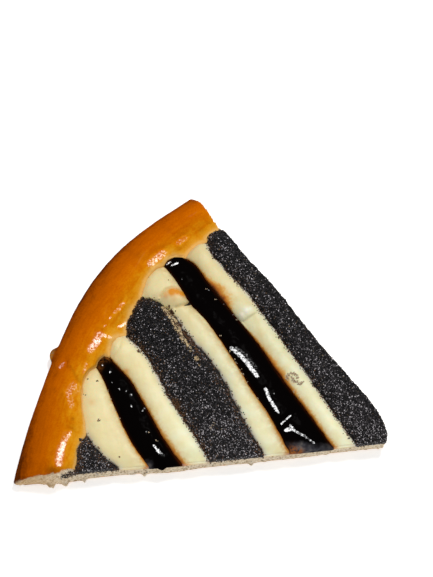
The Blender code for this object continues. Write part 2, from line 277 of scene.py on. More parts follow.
lamp = bpy.data.objects.new("lamp", bpy.data.lights.new("lamp", "AREA"))
lamp.data.shape = "DISK"
lamp.data.size = LAMP_SIZE
lamp.data.energy = LAMP_WATTS
aimed(lamp, LAMP_AZIMUTH, LAMP_ELEVATION, LAMP_DISTANCE)

world = bpy.data.worlds.new("room")
world.use_nodes = True
sky = world.node_tree.nodes["Background"].inputs
sky["Color"].default_value = (1, 1, 1, 1)
sky["Strength"].default_value = FILL
bpy.context.scene.world = world
world.cycles_visibility.glossy = False
bpy.context.scene.view_settings.view_transform = "Standard"

bm = bmesh.new()
bmesh.ops.create_grid(bm, x_segments=1, y_segments=1, size=TABLE_SIZE / 2)
table_mesh = bpy.data.meshes.new("table")
bm.to_mesh(table_mesh)
bm.free()
board = Finish("table", {"Base Color": TABLE_COLOUR, "Roughness": 0.9, "Specular IOR Level": 0.1,
                         "Emission Color": (1, 1, 1, 1), "Emission Strength": TABLE_GLOW})
table_mesh.materials.append(board.material)
table = bpy.data.objects.new("table", table_mesh)
bpy.context.scene.collection.objects.link(table)
table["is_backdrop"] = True
print("lamp", round(LAMP_WATTS, 1), "W at", lamp.location)

# %% [markdown]
# ## From a plain solid to fine clay
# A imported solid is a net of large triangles. To shape it by hand we need small even faces, like
# fresh clay. We copy the solid, weld its corners, and lay a new skin over it with the voxel
# Remesh modifier, which gives squares of one size everywhere. The top is then smoothed, so that
# the old triangles no longer show in a glossy surface. The cut edges are left sharp.

# %% Clay


def finished(holder, kind, settings):
    """An object's mesh with one modifier applied. The object goes."""
    bpy.context.scene.collection.objects.link(holder)
    modifier = holder.modifiers.new("shaper", kind)
    for setting, value in settings.items():
        setattr(modifier, setting, value)
    depsgraph = bpy.context.evaluated_depsgraph_get()
    mesh = bpy.data.meshes.new_from_object(holder.evaluated_get(depsgraph))
    bpy.data.objects.remove(holder)
    return mesh


def fine_mesh(node, grain):
    """A solid's welded copy with square faces of that size in millimetres."""
    bm = bmesh.new()
    bm.from_mesh(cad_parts[node].data)
    bmesh.ops.remove_doubles(bm, verts=bm.verts, dist=0.01 * MM)
    bmesh.ops.recalc_face_normals(bm, faces=bm.faces)
    mesh = bpy.data.meshes.new(node)
    bm.to_mesh(mesh)
    bm.free()
    holder = bpy.data.objects.new(node, mesh)
    return finished(holder, "REMESH", {"mode": "VOXEL", "voxel_size": grain * MM})


def taken(items, name, width, kind=np.float32):
    """One property of all the points, edges or faces of a mesh, as an array."""
    flat = np.empty(len(items) * width, kind)
    items.foreach_get(name, flat)
    return flat.reshape(-1, width)


class Clay:
    """A piece while it is shaped, with its points in millimetres from the slice's tip."""

    def __init__(self, mesh):
        self.mesh = mesh
        self.read()

    def read(self):
        """Takes the points and the directions in which they face from the mesh."""
        self.points = to_plan(taken(self.mesh.vertices, "co", 3))
        self.x, self.y, self.z = self.points.T
        self.facing = taken(self.mesh.vertex_normals, "vector", 3).astype(float)

    def move(self, by):
        """Moves the points by vectors in millimetres."""
        self.points = self.points + by
        self.mesh.vertices.foreach_set("co", from_plan(self.points).astype(np.float32).ravel())
        self.mesh.update()
        self.read()

    def push(self, amount):
        """Moves each point outwards along the way it faces."""
        self.move(self.facing * np.asarray(amount).reshape(-1, 1))

    def lift(self, amount):
        """Moves each point straight up, if it faces up."""
        upward = np.clip(self.facing[:, 2], 0, 1)
        self.move(np.outer(amount * upward, (0, 0, 1)))

    def smooth(self, weights, rounds):
        """Smooths the points whose weight is 1, and leaves those whose weight is 0."""
        holder = bpy.data.objects.new("holder", self.mesh)
        group = holder.vertex_groups.new(name="smooth")
        for level in range(1, 5):
            chosen = np.flatnonzero(np.round(weights * 4) == level)
            group.add(chosen.tolist(), level / 4, "REPLACE")
        settings = {"factor": 0.5, "iterations": rounds, "vertex_group": "smooth"}
        self.mesh = finished(holder, "SMOOTH", settings)
        self.read()

    def write(self, **measures):
        """Writes numbers for each point under a name, for a material to read."""
        for name, values in measures.items():
            layer = self.mesh.attributes.new(name, "FLOAT", "POINT")
            layer.data.foreach_set("value", np.asarray(values, np.float32))


print("the clay tools are ready")

# %% [markdown]
# ## Measuring from one piece to the next
# Much of what shows on food comes from what lies beside it: quark goes brown where syrup seeps in
# from the jam, and dough stays pale where filling covered it. Painted by hand, that would have to
# be painted again after every change of a solid. A search tree over each solid gives the distance
# from any point to its nearest neighbour instead.

# %% Distances
KINDS = ("poppy", "quark", "jam")
STRIPES = {name: name.split("_")[0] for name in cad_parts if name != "dough"}


def stripes(*kinds):
    """The names of the stripes of some kinds."""
    return [name for name, kind in STRIPES.items() if kind in kinds]


def tree_of(*nodes):
    """A search tree over the surfaces of some solids."""
    corners, faces = [], []
    for name in nodes:
        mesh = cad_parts[name].data
        start = len(corners)
        corners += [v.co.copy() for v in mesh.vertices]
        faces += [[start + i for i in p.vertices] for p in mesh.polygons]
    return BVHTree.FromPolygons(corners, faces)


def distance(points, tree):
    """Distances in millimetres from points of the plan to the nearest surface of a tree."""
    return np.array([tree.find_nearest(Vector(p))[3] for p in from_plan(points)]) / MM


poppy_tree, quark_tree, jam_tree = [tree_of(*stripes(kind)) for kind in KINDS]
filling_tree = tree_of(*STRIPES)
dough_tree = tree_of("dough")
NEIGHBOURS = {kind: tree_of("dough", *stripes(*[k for k in KINDS if k != kind])) for kind in KINDS}
print("stripes:", STRIPES)

# %% [markdown]
# ## Lumps, strokes and folds
# A baked surface is uneven everywhere and marked in a few places. Smooth noise gives the first. For
# the second, each mark has its place in the plan: a round patch, a stroke along a few points, a
# groove, a step or an outline. A painted picture could hold them, but numbers in millimetres can
# be moved one by one. Each helper says for all points at once how much of a mark they get.

# %% Lumps, strokes and folds


def lumps(points, size, octaves=1, seed=0):
    """Smooth random lumps of about size millimetres, from about -1 to 1."""
    start = Vector((37.1, 11.3, 5.7)) * seed
    return np.array([noise.fractal(Vector(p) / size + start, 1.0, 2.0, octaves) for p in points])


def hill(points, place, reach):
    """A round hill of height 1 at a place of the plan."""
    away = ((points[:, :2] - place) ** 2).sum(axis=1)
    return np.exp(-away / reach ** 2)


def rise(values, start, end):
    """A smooth rise from 0 at start to 1 at end."""
    share = np.clip((values - start) / (end - start), 0, 1)
    return share * share * (3 - 2 * share)


def along_line(points, line):
    """For each point, how far it is from a line of the plan, and on which side: left is above 0."""
    best = np.full(len(points), 1e9)
    side = np.zeros(len(points))
    line = np.array(line, float)
    for start, end in zip(line, line[1:]):
        run = end - start
        rel = points[:, :2] - start
        share = np.clip(rel @ run / (run @ run), 0, 1)
        away = rel - share[:, None] * run
        length = np.hypot(*away.T)
        nearer = length < best
        best[nearer] = length[nearer]
        side[nearer] = np.sign(run[0] * rel[nearer, 1] - run[1] * rel[nearer, 0])
    return best, side


def groove(points, line, width):
    """A soft groove of depth 1 along a line of the plan."""
    return -np.exp(-(along_line(points, line)[0] / width) ** 2)


def terrace(points, line, width, reach):
    """A step of 1 down to the right of a line, which evens out again further off."""
    away, side = along_line(points, line)
    return -rise(-away * side, -width / 2, width / 2) * np.exp(-(away / reach) ** 2)


def patches(points, places):
    """How far points lie in round patches, each with its place, reach and strength."""
    return np.max([s * hill(points, (x, y), r) for x, y, r, s in places], axis=0)


def strokes(points, lines, spread=1.0):
    """How far points lie in soft strokes, each with its line of the plan, half width and strength."""
    inside = []
    for line, half, strength in lines:
        away = along_line(points, line)[0] / (half * spread)
        inside.append(strength * rise(-away, -1.4, -0.6))
    return np.max(inside, axis=0)


def within(points, outline, soft):
    """How far points lie inside a closed outline of the plan, with a soft edge."""
    inside = np.zeros(len(points), bool)
    x, y = points[:, 0], points[:, 1]
    for (x0, y0), (x1, y1) in zip(outline, outline[1:]):
        if y0 != y1:
            inside ^= ((y0 > y) != (y1 > y)) & (x < x0 + (y - y0) * (x1 - x0) / (y1 - y0))
    away = along_line(points, outline)[0]
    return rise(np.where(inside, away, -away), -soft / 2, soft)


beside_line = np.array([[0, away, 0] for away in (0.6, 1.0, 1.4)])
print("a stroke fades like this:", strokes(beside_line, [([(-1, 0), (1, 0)], 1, 1)]).round(2))

# %% [markdown]
# ## Slopes that catch the lamp
# Glaze and jam look wet only where they mirror the lamp into the camera. White spots painted on
# would stay white from every side. So we work out which way a surface has to face at each place to
# do that, and turn small areas of the clay that way. Each edge of the mesh says how much one of its
# ends should rise over the other. That makes one large set of equations, with the rest of the
# surface as a soft skin, and the method of conjugate gradients solves it.

# %% Slopes that catch the lamp
SKIN_PULL = 0.01
SOLVER_ROUNDS = 300


def glint_slopes(points):
    """The slopes that mirror the lamp into the camera at places of the plan."""
    here = from_plan(points)
    middle = 0
    for thing in (camera, lamp):
        ray = np.array(thing.location) - here
        middle = middle + ray / np.linalg.norm(ray, axis=1, keepdims=True)
    return -middle[:, :2] / middle[:, 2:]


def turned_to_lamp(clay, wanted, reach):
    """Heights that make a surface mirror the lamp where wanted is 1, and die out beyond reach."""
    first, second = taken(clay.mesh.edges, "vertices", 2, np.int32).T
    run = clay.points[second] - clay.points[first]
    lacking = (run[:, :2] * glint_slopes(clay.points[first])).sum(axis=1) - run[:, 2]
    pull = np.minimum(wanted[first], wanted[second])
    hold = SKIN_PULL * (np.linalg.norm(run, axis=1).mean() / reach) ** 2

    def gathered(values):
        return (np.bincount(second, values, len(clay.points))
                - np.bincount(first, values, len(clay.points)))

    heights = np.zeros(len(clay.points))
    rest = gathered(pull * lacking)
    heading = rest
    for _ in range(SOLVER_ROUNDS):
        spread = gathered((pull + SKIN_PULL) * (heading[second] - heading[first])) + hold * heading
        step = rest @ rest / (heading @ spread)
        heights += step * heading
        left_over = rest - step * spread
        heading = left_over + heading * (left_over @ left_over) / (rest @ rest)
        rest = left_over
    return heights


print("a glint on the jam needs slopes of", glint_slopes(np.array([[-50.0, 32.0, 8.0]])).round(2))

# %% [markdown]
# ## Wavy seams and a leaning cut
# Stripes laid by hand meet in wavy lines, waviest where loose poppy seed rolled. The knife left the
# front cut leaning back, by a millimetre at the rim and half of that at the tip. Both concern
# several pieces, so each is a helper that all of them go through: neighbours then move together,
# and no gap opens between them.

# %% Wavy seams and a leaning cut
SEAM_WAVE = 0.9
LEAN = (1.1, 0.5)
LEAN_ENDS = (-112, -30)


def wandered(clay, others):
    """Moves a piece's seams sideways in small waves, which its neighbours across them share."""
    from_seam = distance(clay.points, others)
    from_poppy = distance(clay.points, poppy_tree)
    wave = SEAM_WAVE * lumps(clay.points * (1, 1, 0), 2.6, 3, 21)
    wave *= np.exp(-from_seam / 1.5) * (0.3 + 0.7 * np.exp(-from_poppy / 1.5)) * (clay.z > 5.1)
    clay.move(np.outer(wave, (1, 0, 0)))


def slanted(clay):
    """Leans the front cut back a little, as the knife left it."""
    x, y, z = clay.points.T
    back = rise(z, 0.2, BASE_TOP) * np.interp(x, LEAN_ENDS, LEAN) * rise(x, -118, -110)
    clay.move(np.outer(back * np.exp(-(y / 3) ** 2) * (y < 8), (0, 1, 0)))


print("seams wander by", SEAM_WAVE, "mm, and the cut leans back by", LEAN, "mm")

# %% [markdown]
# ## Into the scene
# Every finished piece goes into the scene in the same way: smooth, with one finish, riding on the
# root body, and with the solids that it stands for hidden. One helper does that, so that no
# piece misses a step.

# %% Into the scene


def show(name, mesh, finish, slot, *nodes):
    """Puts a finished piece in the scene."""
    mesh.materials.clear()
    mesh.materials.append(finish.material)
    mesh.shade_smooth()
    piece = bpy.data.objects.new(name, mesh)
    bpy.context.scene.collection.objects.link(piece)
    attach(piece, "root")
    if nodes:
        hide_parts(*nodes)
    print(name, sum(len(p.vertices) - 2 for p in mesh.polygons), "triangles")


print("slots:", sorted(set(STRIPES.values()) | {"dough"}))

# %% [markdown]
# ## Dough: zones
# The rim puffed up in the oven, and the knife laid the crumb bare. Skin, cuts, broken tip and
# underside each need their own shape and colour. A displacement texture would treat the whole
# piece alike, so we first sort the points by where they are and which way they face.

# %% Dough: zones
DOUGH_GRAIN = 0.455
dough = Clay(fine_mesh("dough", DOUGH_GRAIN))
from_middle = dough.points[:, :2] - ROUND_MIDDLE
from_outside = ROUND_RADIUS - np.hypot(*from_middle.T)
to_filling = distance(dough.points, filling_tree)
front_cut = rise(dough.facing @ FRONT_CUT_OUTWARD, 0.35, 0.75) * (dough.y < 2)
right_gap = np.abs(dough.points @ RIGHT_CUT_OUTWARD)
right_cut = rise(dough.facing @ RIGHT_CUT_OUTWARD, 0.35, 0.75) * (right_gap < 2)
broken_tip = (np.abs(dough.facing[:, 2]) < 0.5) * (from_outside > 30)
cut = np.maximum(np.maximum(front_cut, right_cut), broken_tip)
near_cut = np.minimum(np.abs(dough.y), right_gap)
on_rim = (dough.z > 0.6) * (to_filling > 0.9)
dough.smooth(on_rim * rise(near_cut, 0.8, 1.6), 30)
print("dough points:", len(dough.points))

# %% [markdown]
# ## Dough: the crust
# The side of the rim bulges between the cuts, its back corner is drawn in, and near the burst blob
# a flap of skin was folded over. Against the filling the dough laps up a little. Each of these is
# one push of the clay, weighted by its zone.

# %% Dough: crust
CORNER_IN = 1.1
LAPPING = 0.35
FOLD_STEP = 0.5
CREASE_DEPTH = 0.3
CREASES = [[(-80.7, 73.0), (-79.6, 71.6), (-78.4, 70.6)],
           [(-89.0, 78.5), (-86.0, 80.2), (-82.5, 79.5)], [(-56.1, 84.4), (-57.0, 86.0)]]
SKIN_FOLD = [(-114.6, 36.4), (-112.0, 38.6), (-109.3, 37.2), (-108.2, 33.8), (-107.4, 31.5)]
across = np.clip(from_outside / np.maximum(from_outside + to_filling, 0.1), 0, 1)
skin = on_rim * (1 - cut) * rise(near_cut, 0.4, 2.0)
bulge = (0.35 + 0.3 * rise(dough.y, 40, 75)) * rise(-from_outside, -5, -1)
dough.push(bulge * (1 - cut) * rise(dough.z, 0.0, 1.5) * rise(near_cut, 0.0, 1.0))
back_corner = rise(dough.y, 78, 97) * rise(-from_outside, -7, -1)
dough.move(np.outer(-CORNER_IN * back_corner, (0.3, 1, 0)))
wandered(dough, filling_tree)
dough.push(LAPPING * np.exp(-(to_filling / 0.7) ** 2) * (dough.z > 5.6))
relief = 0.08 * lumps(dough.points, 6.0, 2, 1) + 0.03 * lumps(dough.points, 1.6, 2, 2)
relief += FOLD_STEP * terrace(dough.points, SKIN_FOLD, 0.9, 4.0)
relief -= 0.12 * groove(dough.points, SKIN_FOLD, 0.6)
for line in CREASES:
    relief += CREASE_DEPTH * groove(dough.points, line, 0.7)
dough.push(relief * skin)
print("the crust rises and falls by", round(float((relief * skin).std()), 2), "mm")

# %% [markdown]
# ## Dough: the knife's drag and the glaze
# The knife pushed the end of the rim back and pulled its skin down over the cut. Egg glaze runs
# together on the inner slope and dries in fine wrinkles, so it shines in one long streak near the
# front and in short ones further up. Those areas are turned to the lamp, and the short ones are
# wrinkled on top.

# %% Dough: knife and glaze
END_PUSHED = 1.5
SKIN_DRAGGED = 0.9
DRAG_PLACE = (-117.8, 1.6)
WRINKLE_DEPTH = 0.07
GLAZE_STREAK = [([(-111.0, 14.6), (-112.4, 12.4), (-113.8, 10.0)], 0.5, 0.5),
                ([(-113.6, 10.4), (-114.7, 7.3), (-115.3, 4.6), (-115.5, 3.0)], 0.75, 0.8),
                ([(-112.0, 13.6), (-113.0, 12.0), (-114.4, 9.0)], 1.1, 0.25),
                ([(-114.4, 9.0), (-115.3, 5.0), (-115.5, 2.9)], 1.3, 0.35)]
WRINKLES = [([(-102.5, 41.9), (-100.5, 44.9), (-98.8, 47.5)], 1.1, 0.45),
            ([(-101.4, 43.1), (-99.6, 45.4)], 1.0, 0.75), ([(-98.2, 47.6), (-95.2, 46.2)], 0.6, 0.55),
            ([(-110.6, 27.9), (-108.9, 30.2), (-107.3, 28.4)], 1.2, 0.3),
            ([(-110.7, 26.6), (-110.0, 23.0)], 0.9, 0.3),
            ([(-92.3, 50.4), (-88.3, 52.3)], 0.55, 0.65), ([(-90.9, 57.7), (-90.0, 58.4)], 0.6, 0.4),
            ([(-93.2, 55.3), (-91.6, 56.4)], 0.6, 0.35), ([(-95.1, 52.9), (-94.6, 53.6)], 0.4, 0.3),
            ([(-97.3, 50.0), (-96.7, 50.6)], 0.4, 0.3),
            ([(-79.3, 72.2), (-77.1, 73.9), (-74.4, 75.9)], 1.2, 0.45),
            ([(-68.7, 79.5), (-66.1, 81.2)], 0.8, 0.3), ([(-69.5, 74.0), (-66.2, 73.2)], 0.6, 0.5),
            ([(-113.6, 37.9), (-111.9, 39.3)], 0.6, 0.4), ([(-105.4, 34.0), (-104.0, 37.5)], 0.5, 0.3)]
slanted(dough)
leaning = rise(dough.z, 2.5, 12) * rise(-dough.x, 98, 106)
leaning *= np.exp(-(dough.y / 4.0) ** 2) * (dough.y < 12)
dough.move(np.outer(END_PUSHED * leaning, (0, 1, 0)))
lip_x, lip_y = ((dough.points[:, :2] - DRAG_PLACE) / (3.4, 1.5)).T
lip = np.exp(-lip_x ** 2 - lip_y ** 2)
dough.lift(-SKIN_DRAGGED * lip * (dough.z > 6))
faces_up = skin * rise(dough.facing[:, 2], 0.2, 0.4)
gloss_lines = GLAZE_STREAK + WRINKLES
turned = strokes(dough.points, [(line, half * 1.35, 1) for line, half, _ in gloss_lines])
dough.move(np.outer(turned_to_lamp(dough, turned * faces_up, 2.5), (0, 0, 1)))
wrinkled = strokes(dough.points, [(line, half, 1) for line, half, _ in WRINKLES], 1.3)
dough.push(WRINKLE_DEPTH * wrinkled * lumps(dough.points, 1.0, 2, 4) * skin)
print("turned to the lamp:", round(float((turned * faces_up > 0.5).mean() * 100), 1), "% of the points")

# %% [markdown]
# ## Dough: the open crumb
# Yeast leaves bread full of pores, and a knife tears their walls. Cells of the Voronoi kind have
# the right round shape, so the cuts are pushed in where a point is near the middle of a cell. A few
# nibs of crumb hang from the lower edge of the front cut.

# %% Dough: crumb
PORE_SIZE = 1.5
PORE_DEPTH = 0.35
NIB_LENGTH = 1.3
NIBS = [(-120.2, 1.2, 0.9), (-119.0, 0.6, 0.6), (-114.9, 1.0, 0.9), (-51.7, 1.2, 0.8),
        (-108.5, 0.8, 0.6), (-88.0, 0.9, 0.7)]
pores = np.array([noise.voronoi(Vector(p) / PORE_SIZE)[0][0] for p in dough.points])
crumb_relief = PORE_DEPTH * (lumps(dough.points, 1.3, 3, 3) - rise(0.45 - pores, 0, 0.3))
for x, z, reach in NIBS:
    crumb_relief += NIB_LENGTH * hill(dough.points[:, ::2], (x, z), reach)
dough.push(crumb_relief * cut * rise(dough.z, 0.0, 0.8))
print("deepest pore", round(float(-(crumb_relief * cut).min()), 2), "mm")

# %% [markdown]
# ## Dough: what the material needs to know
# Three things decide the colour of baked dough: how far across the rim a point is, whether it is
# skin or cut crumb, and how deep it lies under the skin. Besides, the crust has dark spots and a
# band of painted shade along the outer side of the back corner, jam has stained it in places, and a
# blob of glaze burst on its side. We measure each at every point and write it on the mesh, so that
# the material only has to look it up.

# %% Dough: measures for the material
# The last six spots lie along the outer side of the back corner: painted shade there.
DARK_SPOTS_AND_SHADE = [(-109.9, 18.6, 0.6, 0.8), (-115.8, 30.4, 0.5, 0.6), (-115.5, 29.2, 0.4, 0.6),
              (-83.0, 75.5, 2.2, 0.5), (-86.5, 79.5, 1.6, 0.4), (-79.6, 71.6, 0.8, 0.5),
              (-96.5, 68.0, 2.0, 0.35), (-60.0, 84.0, 1.0, 0.4), (-108.0, 54.0, 1.4, 0.35),
              (-100.0, 62.0, 1.2, 0.3), (-112.5, 1.8, 1.4, 0.5), (-72.0, 84.0, 1.2, 0.35),
              (-61.7, 96.0, 1.7, 1.6), (-64.4, 95.7, 1.8, 1.6), (-67.2, 94.8, 1.7, 1.6),
              (-69.8, 93.4, 1.6, 1.4), (-72.1, 91.7, 1.4, 1.1), (-74.4, 90.5, 1.2, 0.8)]
BLOB = (-115.9, 41.3)
skin_points = np.flatnonzero((cut < 0.3) * ((to_filling > 1.2) + (dough.z < 0.5)))
skin_tree = KDTree(len(skin_points))
for i in skin_points:
    skin_tree.insert(Vector(dough.points[i]), int(i))
skin_tree.balance()
under_skin = np.zeros(len(dough.points))
for i in np.flatnonzero(cut > 0.05):
    under_skin[i] = skin_tree.find(Vector(dough.points[i]))[2]
round_angle = np.arctan2(*from_middle.T) * ROUND_RADIUS
drawn_out = np.column_stack([round_angle / 5, from_outside / 0.8, dough.z / 3])
dough.write(across=across,
            crumb=cut * rise(under_skin + 0.2 * lumps(dough.points, 1.0, 1, 5), 0.15, 0.6),
            pressed=np.maximum(lip, patches(dough.points, DARK_SPOTS_AND_SHADE) * on_rim),
            wrinkled=wrinkled,
            streaky=lumps(drawn_out, 1.0, 3, 6),
            shiny=strokes(dough.points, gloss_lines, 1.05),
            near_filling=np.exp(-to_filling / 2.4),
            stained=np.exp(-distance(dough.points, jam_tree) / 1.6) * on_rim,
            blob=rise(-from_outside, -1.0, 0.0) * hill(dough.points, BLOB, 3.6),
            underside=(dough.z < 0.4) * (dough.facing[:, 2] < -0.5))
print("share of points on the cuts:", round(float((cut > 0.5).mean()), 3))

# %% [markdown]
# ## Dough: the finish
# Egg wash bakes to a glossy golden brown that is darkest low on the outer side and palest where
# the filling covered it. A ramp over the distance across the rim gives that, moved about by noise
# so that no line runs straight. The darkest end of the ramp is partly that baked brown and partly
# painted shade of the outer side wall. The crumb is matt, grey-beige and speckled. The gloss is a
# coat over the streaks only. A bump in the skin doesn't reach the coat, so noise breaks up
# its weight.

# %% Dough: finish
crust = Finish("baked_dough", {"Roughness": 0.5, "Specular IOR Level": 0.0, "Coat Roughness": 0.17,
                               "Coat Tint": (1, 0.9, 0.6, 1)})
mottle = crust.noise(3.0, 3)
freckle = crust.noise(0.7, 2)
patchy = (mottle - 0.5) * 0.36 + (freckle - 0.5) * 0.34 + crust.measure("streaky") * 0.13
place = crust.measure("across") + patchy * (crust.measure("across") * 0.8 + 0.3)
# The dark low end of this ramp is partly painted shade of the outer side wall.
browned = crust.ramp(place, [(0.0, (92, 38, 1)), (0.07, (136, 60, 0)), (0.2, (178, 84, 0)),
                             (0.45, (202, 100, 0)), (0.66, (216, 121, 2)),
                             (0.84, (227, 148, 16)), (1.0, (232, 160, 36))])
pale = crust.measure("near_filling") + (mottle - 0.5) * 0.3
browned = crust.blend(pale.step(0.2, 0.6) * 0.75, browned, (232, 168, 56))
browned = crust.blend(pale.step(0.38, 0.68) * 0.8, browned, (239, 190, 112))
speckled = crust.noise(0.45, 2).step(0.35, 0.65) * 0.16
browned = crust.blend(speckled, browned, (0.6, 0.45, 0.3, 1), "MULTIPLY")
browned = crust.blend(crust.measure("stained").step(0.25, 0.9), browned, (140, 66, 10))
burst = crust.blend(freckle.step(0.4, 0.6), (170, 140, 100), (206, 130, 26))
browned = crust.blend(crust.measure("blob"), browned, burst)
# Darker where the knife pressed the skin and at dark spots; along the outer back corner, painted shade.
browned = crust.blend(crust.measure("pressed") * 0.6, browned, (136, 66, 6))
bread = crust.ramp(crust.noise(0.8, 3), [(0.3, (156, 134, 104)), (0.48, (228, 208, 178)),
                                         (0.7, (246, 234, 212))])
at_rim = (1 - crust.measure("across")) * 0.9
bread = crust.blend(at_rim.step(0.0, 0.7) * 0.6, bread, (196, 154, 98))
below = crust.ramp(crust.noise(4.0, 3), [(0.35, (150, 92, 40)), (0.65, (206, 160, 104))])
dough_colour = crust.blend(crust.measure("underside"), browned, below)
dough_colour = crust.blend(crust.measure("crumb"), dough_colour, bread)
crust.feed("Base Color", dough_colour)
dull = crust.measure("crumb").larger(crust.measure("underside"))
crust.feed("Roughness", dull * 0.4 + 0.5)
shiny = crust.measure("shiny")
glazed = shiny.step(0.0, 0.6) * (shiny + (crust.noise(0.7, 3) - 0.5) * 2.6).step(0.05, 1.4)
crust.feed("Coat Weight", (1 - dull) * (glazed + 0.006))
crust.relief(crust.noise(0.45, 3) * (crust.measure("wrinkled") * 0.9 + 0.07), 0.08)
show("crust_and_crumb", dough.mesh, crust, "dough", "dough")

# %% [markdown]
# ## Quark: the shape
# Sweet quark was spooned on and baked: soft low billows, a skin that is slightly wrinkled, and
# here and there a fold where the spoon was lifted. The long stripe has a folded lobe with a deep
# notch at its head. Each stripe swells a little into its neighbours, which closes the gap that the
# solids keep, but not out over the cuts.

# %% Quark: shape
FILLING_GRAIN = 0.36
SWELL = 0.2
LAP = 0.35


def filling_clay(node, grain):
    """A stripe as clay, smoothed on top and swollen to meet its neighbours."""
    clay = Clay(fine_mesh(node, grain))
    limits = [(side, (clay.points @ side).max()) for side in (FRONT_CUT_OUTWARD, RIGHT_CUT_OUTWARD)]
    wandered(clay, NEIGHBOURS[STRIPES[node]])
    clay.smooth(rise(clay.facing[:, 2], 0.75, 0.95), 40)
    clay.push(SWELL + LAP * np.exp(-(distance(clay.points, dough_tree) / 0.8) ** 2))
    for side, limit in limits:
        clay.move(np.outer(np.minimum(limit - clay.points @ side, 0), side))
    slanted(clay)
    return clay


LOBE_HEIGHT = 0.9
NOTCH_DEPTH = 1.4
LOBE = [(-77.0, 59.6), (-74.7, 61.9), (-71.5, 62.5), (-69.0, 61.1), (-67.3, 58.9), (-67.1, 57.5),
        (-67.7, 56.3), (-68.9, 55.5), (-71.9, 54.9), (-74.8, 56.0), (-77.0, 59.6)]
LOBE_CREASE = LOBE[:9]
NOTCH = [(-66.9, 59.4), (-65.0, 58.8), (-64.4, 56.8), (-65.6, 56.1), (-67.2, 55.6), (-69.4, 55.3),
         (-68.6, 55.9), (-67.8, 56.3), (-67.2, 57.2), (-66.9, 58.2), (-66.9, 59.4)]
EDGE_FOLD = [(-50.4, 47.9), (-48.6, 47.9), (-46.7, 48.9)]
# The lip is raised, and further on painted paler as a painted highlight where it faces the lamp.
LIP_AND_PAINTED_HIGHLIGHT = [(-49.4, 49.6, 1.2, 0.8), (-47.7, 51.0, 1.4, 1.0), (-46.2, 51.6, 1.0, 0.7)]
MIDDLE_LIP = [(-91.4, 46.4), (-92.0, 45.0), (-92.7, 42.4), (-95.1, 40.0)]
quarks = {}
for node in stripes("quark"):
    clay = filling_clay(node, FILLING_GRAIN)
    top = rise(clay.facing[:, 2], 0.3, 0.8)
    heave = 0.16 * lumps(clay.points, 5.0, 2, 7) + 0.05 * lumps(clay.points, 1.2, 2, 8)
    heave += LOBE_HEIGHT * within(clay.points, LOBE, 2.8) + 0.8 * groove(clay.points, LOBE_CREASE, 0.5)
    heave += 0.8 * terrace(clay.points, EDGE_FOLD, 0.9, 3.5)
    heave += 0.4 * groove(clay.points, MIDDLE_LIP, 0.6)
    heave += 0.5 * patches(clay.points, LIP_AND_PAINTED_HIGHLIGHT) - NOTCH_DEPTH * within(clay.points, NOTCH, 0.3)
    clay.lift(heave * top)
    quarks[node] = clay
print("quark stripes:", sorted(quarks))

# %% [markdown]
# ## Quark: seeping syrup
# Syrup boiled out of the jam and soaked into the quark beside it, brown at the seam and orange a
# little further in. How far it went changes along each seam, so every seam has a short list of
# places and strengths. Next to poppy seed the quark is painted a little grey, as painted shade, next
# to jam it is tanned in a wide band, and its foot on the front cut is toasted. Further back it is
# painted darker, as painted shade; the lobe's crease is painted darker, as shade in the crease; and
# a raised lip is painted paler, as a painted highlight.

# %% Quark: measures for the material
SYRUP = {
    "quark_edge": [(0, 0.55), (8, 0.55), (20, 0.6), (28, 0.75), (36, 0.6), (42, 0.45), (46, 0.2),
                   (50, 0.1), (52, 0.3), (54, 0.6), (56, 1.1), (61, 1.1), (64, 0.75), (68, 0.4),
                   (74, 0.25)],
    "quark_long": [(0, 0.55), (15, 0.55), (26, 0.5), (40, 0.45), (50, 0.3), (58, 0.15), (70, 0.1)],
    "quark_middle": [(0, 0.8), (10, 0.7), (20, 0.55), (30, 0.5), (40, 0.4)],
    "quark_corner": [(0, 0.5), (12, 0.45), (24, 0.4), (32, 0.3), (38, 0.2)],
}
SYRUP_REACH = 2.1
TANNED = {"quark_edge": 0.25, "quark_long": 0.85, "quark_middle": 0.35, "quark_corner": 0.5}
